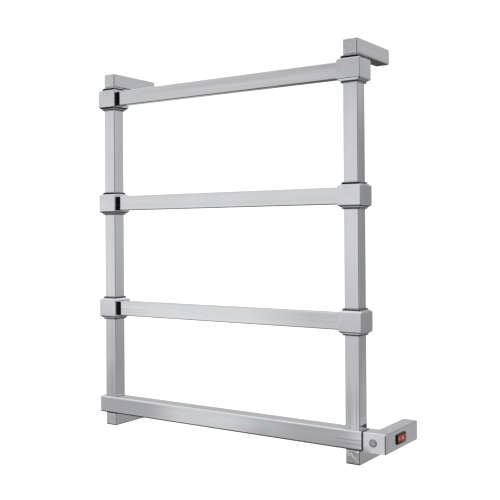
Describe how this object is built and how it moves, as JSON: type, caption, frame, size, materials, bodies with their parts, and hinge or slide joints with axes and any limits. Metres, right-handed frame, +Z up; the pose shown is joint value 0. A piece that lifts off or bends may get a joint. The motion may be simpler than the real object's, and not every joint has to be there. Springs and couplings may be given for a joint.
{
  "type": "towel warmer rack",
  "caption": "Wall-mounted electric towel warmer: square-tube ladder frame with flat rails held in square collars, arms back to the wall, and a switched control box at the foot.",
  "frame": {"origin": "centre of the four wall-screw holes, on the wall plane", "axes": "+X to the right along the rails, +Y back into the wall, +Z up"},
  "size_m": [0.5852, 0.1225, 0.652],
  "materials": {
    "polished_metal": "mirror-polished chrome plate",
    "satin_badge": "satin turned disc",
    "zinc_plate": "bright zinc plate",
    "screw_steel": "plain steel",
    "black_rubber": "matte black rubber",
    "black_plastic": "fine-textured black nylon",
    "red_lens": "translucent red, lit from behind",
    "brass": "plain brass",
    "lamp_glass": "clear lamp glass",
    "cable_silicone": "red-brown silicone sheath",
    "splice_sleeve": "heat-shrink sleeve",
    "white_plastic": "white nylon",
    "lead_brown": "brown insulation",
    "lead_black": "black insulation",
    "lead_blue": "blue insulation"
  },
  "bodies": {
    "frame": {"arm_set_screws": "screw_steel", "back_cover": "zinc_plate", "badge": "satin_badge", "bar_end_cap": "polished_metal", "bottom_bar": "polished_metal", "cable_splices": "splice_sleeve", "channel_screw": "screw_steel", "collar_screws": "screw_steel", "control_cover": "zinc_plate", "control_housing": "polished_metal", "cover_screws": "screw_steel", "heating_cable": "cable_silicone", "inlet_grommet": "black_rubber", "joint_channel": "zinc_plate", "joint_gasket": "black_rubber", "left_post": "polished_metal", "live_lead": "lead_brown", "lower_left_arm": "polished_metal", "lower_left_bracket": "zinc_plate", "lower_left_collar": "polished_metal", "lower_rail": "polished_metal", "lower_right_arm": "polished_metal", "lower_right_bracket": "zinc_plate", "lower_right_collar": "polished_metal", "middle_left_collar": "polished_metal", "middle_rail": "polished_metal", "middle_right_collar": "polished_metal", "neon_lamp": "lamp_glass", "neutral_lead": "lead_blue", "right_post": "polished_metal", "switch_body": "black_plastic", "switch_terminals": "brass", "switched_lead": "lead_black", "terminal_block": "white_plastic", "terminal_screws": "brass", "thermal_fuse": "screw_steel", "top_left_collar": "polished_metal", "top_rail": "polished_metal", "top_right_collar": "polished_metal", "upper_left_arm": "polished_metal", "upper_left_bracket": "zinc_plate", "upper_right_arm": "polished_metal", "upper_right_bracket": "zinc_plate", "window_grommets": "black_rubber"},
    "rocker": {"rocker": "red_lens"},
    "contact": {"contact_seesaw": "brass"}
  },
  "joints": [
    {"name": "rocker_hinge", "type": "hinge", "parent": "frame", "child": "rocker", "pos_m": [0.3044, -0.064, -0.2875], "axis": [0, 0, 1], "range_deg": [0, 18]},
    {"name": "contact_tilt", "type": "hinge", "parent": "frame", "child": "contact", "pos_m": [0.2969, -0.064, -0.2875], "axis": [0, 0, 1], "range_deg": [-10, 0]}
  ],
  "couplings": [
    {"joint": "contact_tilt", "follows": "rocker_hinge", "ratio": -0.5555}
  ]
}
